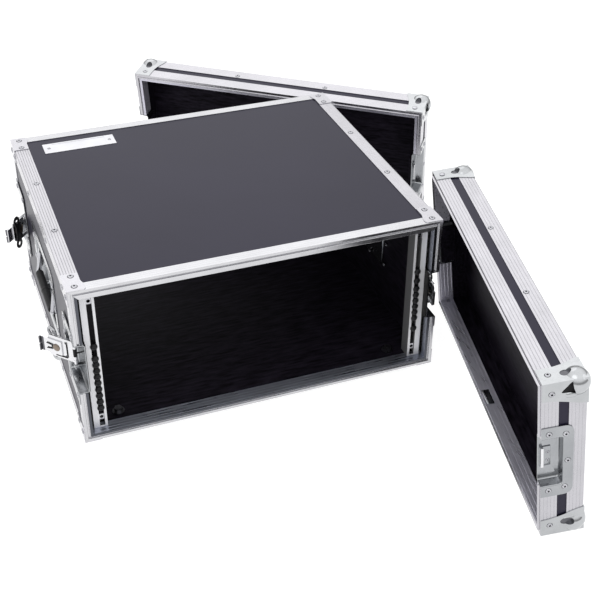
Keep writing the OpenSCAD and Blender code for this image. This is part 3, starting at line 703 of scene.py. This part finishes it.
def lid_corners():
    made = {}
    for low in (False, True):
        one, oval, tri = ball_corner(low)
        mesh = bpy.data.meshes.new("corner")
        one.to_mesh(mesh)
        one.free()
        made[low] = mesh, oval, tri
    for lid, place in LIDS.items():
        # thin plates laid in the corner cuts: near-black ones in the upper corners' triangles and
        # dark grey ones in the ovals and the lower corners' cuts, all of them painted shade
        bm, dark, bowl_shade = bmesh.new(), bmesh.new(), bmesh.new()
        for fx in (Matrix(), FLIP_X):
            for low, fz in ((False, Matrix()), (True, FLIP_Z)):
                mesh, oval, tri = made[low]
                part = bmesh.new()
                part.from_mesh(mesh)
                merge(bm, part, fx @ fz)
                merge(bowl_shade, prism(oval, EZ + 0.02, EZ + 0.3, ON_TOP), fx @ fz)
                merge(bowl_shade if low else dark, prism(tri, EX + 0.02, EX + 0.3, ON_END), fx @ fz)
        mesh_object(lid + "_lid_ball_corners", bm, place, "ball", lid + "_lid", lid + "_lid_balls",
                    slot="zinc_steel", smooth=32)
        mesh_object(lid + "_lid_corner_shade", dark, place, "pit", lid + "_lid")
        mesh_object(lid + "_lid_corner_bowl_shade", bowl_shade, place, "dull_steel", lid + "_lid")
    for mesh, *_ in made.values():
        bpy.data.meshes.remove(mesh)


def end_pan(outer, inner, top, y, cut=False):
    """Pan pressed into an end face, with its flange at x = top."""
    flat, placed = bmesh.new(), bmesh.new()
    pan(flat, outer, inner, top - DISH_FLOOR, cut)
    merge(placed, flat, ON_END)
    placed.transform(move(top, y, 0))
    return placed


def sorted_box(matrix, lo, hi):
    a, b = matrix @ Vector(lo), matrix @ Vector(hi)
    return [tuple(pick(u, v) for u, v in zip(a, b)) for pick in (min, max)]


def dishes():
    for lid, place in LIDS.items():
        bm, lips = bmesh.new(), bmesh.new()
        for fx in (Matrix(), FLIP_X):
            merge(bm, end_pan((40, 56, 11), (27, 38, 3.5), DISH_TOP, 0, cut=True), fx)
            part = bmesh.new()
            box(part, (DISH_FLOOR, 2.2, -15.5), (DISH_FLOOR + 1.2, 16, 15.5), 0.3)
            box(part, (DISH_FLOOR, 4.5, -15.5), (250.6, 6.5, 15.5), 0.3)
            merge(bm, part, fx)
            box(lips, *sorted_box(fx, (249.66, 3.2, -15.5), (250.66, 6.6, 15.5)), 0.3)
        for fz in (-1, 1):
            box(bm, (-16, 2, fz * (IZ - 1.5) - 0.5), (16, 13, fz * (IZ - 1.5) + 0.5), 0.3)
        mesh_object(lid + "_lid_catch_plates", bm, place, "zinc", lid + "_lid",
                    lid + "_lid_catches", slot="zinc_steel", smooth=35)
        mesh_object(lid + "_lid_keeper_lips", lips, place, "arm", lid + "_lid")
        spots = []
        for sx in (-1, 1):
            for b, z in ((9.5, 46), (9.5, -46), (30, 43), (30, -43), (33, 0)):
                spots.append(((sx * DISH_TOP, b, z), (sx, 0, 0)))
            for sz in (-1, 1):
                spots.append(((sx * CX, 12, sz * 107), (sx, 0, 0)))
                spots.append(((sx * 80, 39, sz * EZ), (0, 0, sz)))
                for x in (80, 200):
                    spots.append(((sx * x, LID_D, sz * 112), (0, 1, 0)))
                if sx < 0:
                    spots.append(((-245, 12, sz * CZ), (0, 0, sz)))
        rivets(lid + "_lid_rivet_heads", spots, place, lid + "_lid", scale=0.92)
        spots = [((sx * (DISH_FLOOR + 1.15), 12.4, z), (sx, 0, 0))
                 for sx in (-1, 1) for z in (-6.5, 6.5)]
        rivets(lid + "_lid_keeper_rivets", spots, place, lid + "_lid", scale=0.6)
    bm = bmesh.new()
    for fx in (Matrix(), FLIP_X):
        for fy in (Matrix(), REAR):
            merge(bm, end_pan((69, 56, 11), (60, 38, 3.5), DISH_TOP, Y0, cut=True), fx @ fy)
            part = bmesh.new()
            for s in (-1, 1):
                lo, hi = sorted((s * 19.6, s * 24))
                box(part, (DISH_FLOOR - 0.1, 23.8, lo), (257, 30.2, hi), 0.9)
            merge(bm, part, fx @ fy)
    mesh_object("latch_dish_pressings", bm, Matrix(), "zinc", "case", "latch_dishes",
                slot="zinc_steel", smooth=35)
    bm = bmesh.new()
    for sx in (-1, 1):
        for lo, hi in ((Y0 + 0.6, 46), (377, Y1 - 0.6)):
            x0, x1 = sorted((sx * 244.6, sx * 245.2))
            box(bm, (x0, lo, -38.5), (x1, hi, 38.5))
    mesh_object("latch_dish_backs", bm, Matrix(), "black_wood", "case")
    bm = bmesh.new()
    for fx in (Matrix(), FLIP_X):
        merge(bm, end_pan((82, 60, 9), (64, 44, 5), HANDLE_TOP, HANDLE_Y), fx)
    mesh_object("handle_dish_pressings", bm, Matrix(), "zinc", "case", "handle_dishes",
                slot="zinc_steel", smooth=35)


def case_rivets():
    spots = []
    for sx in (-1, 1):
        for sz in (-1, 1):
            for y in (142, 282):
                spots.append(((sx * 246, y, sz * EZ), (0, 0, sz)))
                spots.append(((sx * EX, y, sz * 109), (sx, 0, 0)))
            for y in (-4, 20.5, 402.5, 427):
                spots.append(((sx * 248, y, sz * CZ), (0, 0, sz)))
                spots.append(((sx * CX, y, sz * 110), (sx, 0, 0)))
            for y, z in ((45, 47), (50.4, 20), (-4, 47), (378, 47), (372.6, 20), (427, 47)):
                spots.append(((sx * DISH_TOP, y, sz * z), (sx, 0, 0)))
    rivets("case_rivet_heads", spots, Matrix(), "case", "case_rivets")
    spots = [((x, 388.3, BZ + 0.8), (0, 0, 1)) for x in (-209, -115.5)]
    rivets("name_plate_rivets", spots, Matrix(), "case", scale=0.6)


# name: left, rear, arm opened, hub turn still to go, wing lift
LATCHES = {"a": (True, False, 138, 175, 4), "b": (True, True, 138, 180, 4),
           "c": (False, False, 0, 0, 0), "d": (False, True, 0, 0, 0)}

def rod(bm, a, b, r, segments=12):
    a, b = Vector(a), Vector(b)
    length = (b - a).length
    lathe(bm, [(0, 0), (r, 0), (r, length), (0, length)], facing(a, b - a), segments)


def arm_plate():
    outline = [(2, -17), (38, -17), (41.5, -15.6), (43, -12), (43, 12), (41.5, 15.6), (38, 17),
               (2, 17)]
    bm = combine(prism(outline, -0.8, 0.8, ON_END, 0.3),
                 [("DIFFERENCE", prism(disc(13, z, 2.4), -4, 4, ON_END)) for z in (-11, 11)])
    for z in (-1, 1):
        lo, hi = sorted((z * 16.2, z * 17))
        box(bm, (-0.8, 5, lo), (3.2, 38, hi), 0.25)
        for end in ((6.5, 12), (12.3, 18.5)):
            lathe(bm, [(1.6, end[0]), (2.4, end[0]), (2.4, end[1]), (1.6, end[1]), (1.6, end[0])],
                  FLIP_Z if z < 0 else Matrix(), 20)
    box(bm, (0.7, 3.2, -15.5), (1.4, 4.6, 15.5), 0.2)
    bmesh.ops.remove_doubles(bm, verts=bm.verts, dist=0.001)
    return bm


def wing_plate():
    """Butterfly wing: two lobes with a finger loop in each, on a folding axle."""
    back, side, lobe_r, loop_r = -9.4, 19.5, 8, 3.4

    def lobe(s):
        return [(back + lobe_r * math.cos(t), s * (side + lobe_r * math.sin(t))) for t in
                (math.radians(-30 + 15 * i) for i in range(17))]
    outline = (lobe(1) + [(-13.4, 9), (-13.4, -9)] + lobe(-1)[::-1]
               + [(-0.4, -12), (-0.4, -5.3), (-3.6, -5.3), (-3.6, 5.3), (-0.4, 5.3), (-0.4, 12)])
    bm = combine(prism(outline, -0.8, 0.8, ON_END, 0.35),
                 [("DIFFERENCE", prism(disc(back, z, loop_r), -4, 4, ON_END))
                  for z in (-side, side)])
    for z in (-1, 1):
        rod(bm, (0, 0, z * 5.4), (0, 0, z * 13.4), 1.6, 16)
    rod(bm, (0, 0, -6), (0, 0, 6), 0.95)
    return bm


def latches():
    for name, (left, rear, opened, turn, lift) in LATCHES.items():
        place = (FLIP_X if left else Matrix()) @ (REAR if rear else Matrix())
        place = place @ move(ARM_X, ARM_Y, 0) @ rot("Z", opened) @ FLIP_Y
        latch = "latch_" + name
        mesh_object(latch + "_arm_plate", arm_plate(), place, "arm", latch + "_arm", latch + "_arm",
                    slot="hardware_steel", smooth=35)
        folded = place @ move(0, HUB, 0) @ rot("X", turn) @ move(4.4, 0, 0) @ rot("Z", lift)
        # the rear wings are the same zinc as the front ones; their black coated steel is painted
        # shade and dark reflection
        mesh_object(latch + "_wing_plate", wing_plate(), folded, "black_steel" if rear else "wing",
                    latch + "_wing", latch + "_wing", slot="dark_steel", smooth=35)
        bm = bmesh.new()
        rod(bm, (-1.5, 12, -12.6), (-1.5, 31, -13.4), 0.7)
        rod(bm, (-1.5, 12, -12.6), (-1.5, 12, 12.6), 0.7)
        for z in (-3, 3):
            rod(bm, (-3.5, HUB + 5.2, z), (-3.5, HUB + 15, z * 1.4), 0.7)
        mesh_object(latch + "_spring_wires", bm, place, "black_steel", latch + "_arm", smooth=40)
        bm = bmesh.new()
        box(bm, (-3.0, 44, -11.2), (-2.4, 50.2, 11.2), 0.2)
        for z in (-1, 1):
            lo, hi = sorted((z * 1, z * 11.3))
            box(bm, (-5.5, 48.1, lo), (-2.4, 50.2, hi), 0.3)
        # the claw plates take the dark steel as painted shade
        mesh_object(latch + "_claw_plates", bm, place @ move(0, HOOK_TRAVEL * turn / 180, 0),
                    "dull_steel", latch + "_hook", smooth=35)


lid_corners()
dishes()
case_rivets()
latches()


# ---------------------------------------------------------------- floor, light, camera
def floor():
    mesh = bpy.data.meshes.new("floor")
    s, z = 6.0, FLOOR * MM - 0.0002
    mesh.from_pydata([(-s, -s, z), (s, -s, z), (s, s, z), (-s, s, z)], [], [(0, 1, 2, 3)])
    obj = bpy.data.objects.new("floor", mesh)
    bpy.context.scene.collection.objects.link(obj)
    g = Graph("floor_white")
    soft = g.noise(g.where(), 3, 2)
    white = g.mix(soft, (0.97, 0.97, 0.97), (1.0, 1.0, 1.0))
    g.set(Base_Color=g.mix(soft, (0.30, 0.30, 0.30), (0.32, 0.32, 0.32)), Roughness=0.9,
          Specular_IOR_Level=0.0, Emission_Color=white, Emission_Strength=0.92)
    mesh.materials.append(g.mat)


def light(name, at, to, size, power):
    data = bpy.data.lights.new(name, "AREA")
    data.shape, data.size, data.energy = "DISK", size, power
    obj = bpy.data.objects.new(name, data)
    obj.location = at
    obj.rotation_mode = "QUATERNION"
    obj.rotation_quaternion = (Vector(to) - Vector(at)).to_track_quat("-Z", "Y")
    bpy.context.scene.collection.objects.link(obj)


def camera():
    yaw, pitch, roll = -0.3689, 0.5871, 0.010
    fwd = Vector((-math.sin(yaw) * math.cos(pitch), math.cos(yaw) * math.cos(pitch),
                  -math.sin(pitch)))
    right = Vector((math.cos(yaw), math.sin(yaw), 0))
    up = right.cross(fwd)
    r2 = math.cos(roll) * right + math.sin(roll) * up
    u2 = -math.sin(roll) * right + math.cos(roll) * up
    data = bpy.data.cameras.new("camera")
    data.sensor_width, data.lens = 36.0, 68.02
    data.shift_x, data.shift_y = -0.0077, -0.0255
    data.clip_start, data.clip_end = 0.05, 60
    obj = bpy.data.objects.new("camera", data)
    m = Matrix((r2, u2, -fwd)).transposed().to_4x4()
    m.translation = Vector((-403.596, -1204.082, 911.801)) * MM
    obj.matrix_world = m
    bpy.context.scene.collection.objects.link(obj)
    bpy.context.scene.camera = obj


def studio():
    """Soft white surround, brightest overhead, so that upright metal reads darker than tops."""
    world = bpy.data.worlds.new("studio")
    world.use_nodes = True
    tree = world.node_tree
    way = tree.nodes.new("ShaderNodeTexCoord").outputs["Generated"]
    apart = tree.nodes.new("ShaderNodeSeparateXYZ")
    tree.links.new(way, apart.inputs[0])
    ramp = tree.nodes.new("ShaderNodeValToRGB")
    tree.links.new(apart.outputs[2], ramp.inputs[0])
    stops = ((0.0, 0.34), (0.15, 0.28), (0.42, 0.80), (0.8, 1.0))
    while len(ramp.color_ramp.elements) < len(stops):
        ramp.color_ramp.elements.new(0.5)
    for e, (at, v) in zip(ramp.color_ramp.elements, stops):
        e.position, e.color = at, (v, v, v, 1)
    back = tree.nodes["Background"]
    tree.links.new(ramp.outputs[0], back.inputs[0])
    back.inputs[1].default_value = 1.5
    bpy.context.scene.world = world


floor()
studio()
light("key", (-1.6, -1.2, 2.6), (0, 0.1, 0), 2.4, 10)
light("fill", (2.4, -1.6, 1.6), (0, 0.1, 0), 2.0, 4)
light("back", (0.4, 2.8, 2.4), (0, 0.2, 0), 3.0, 10)
bpy.context.scene.view_settings.view_transform = "Standard"
camera()
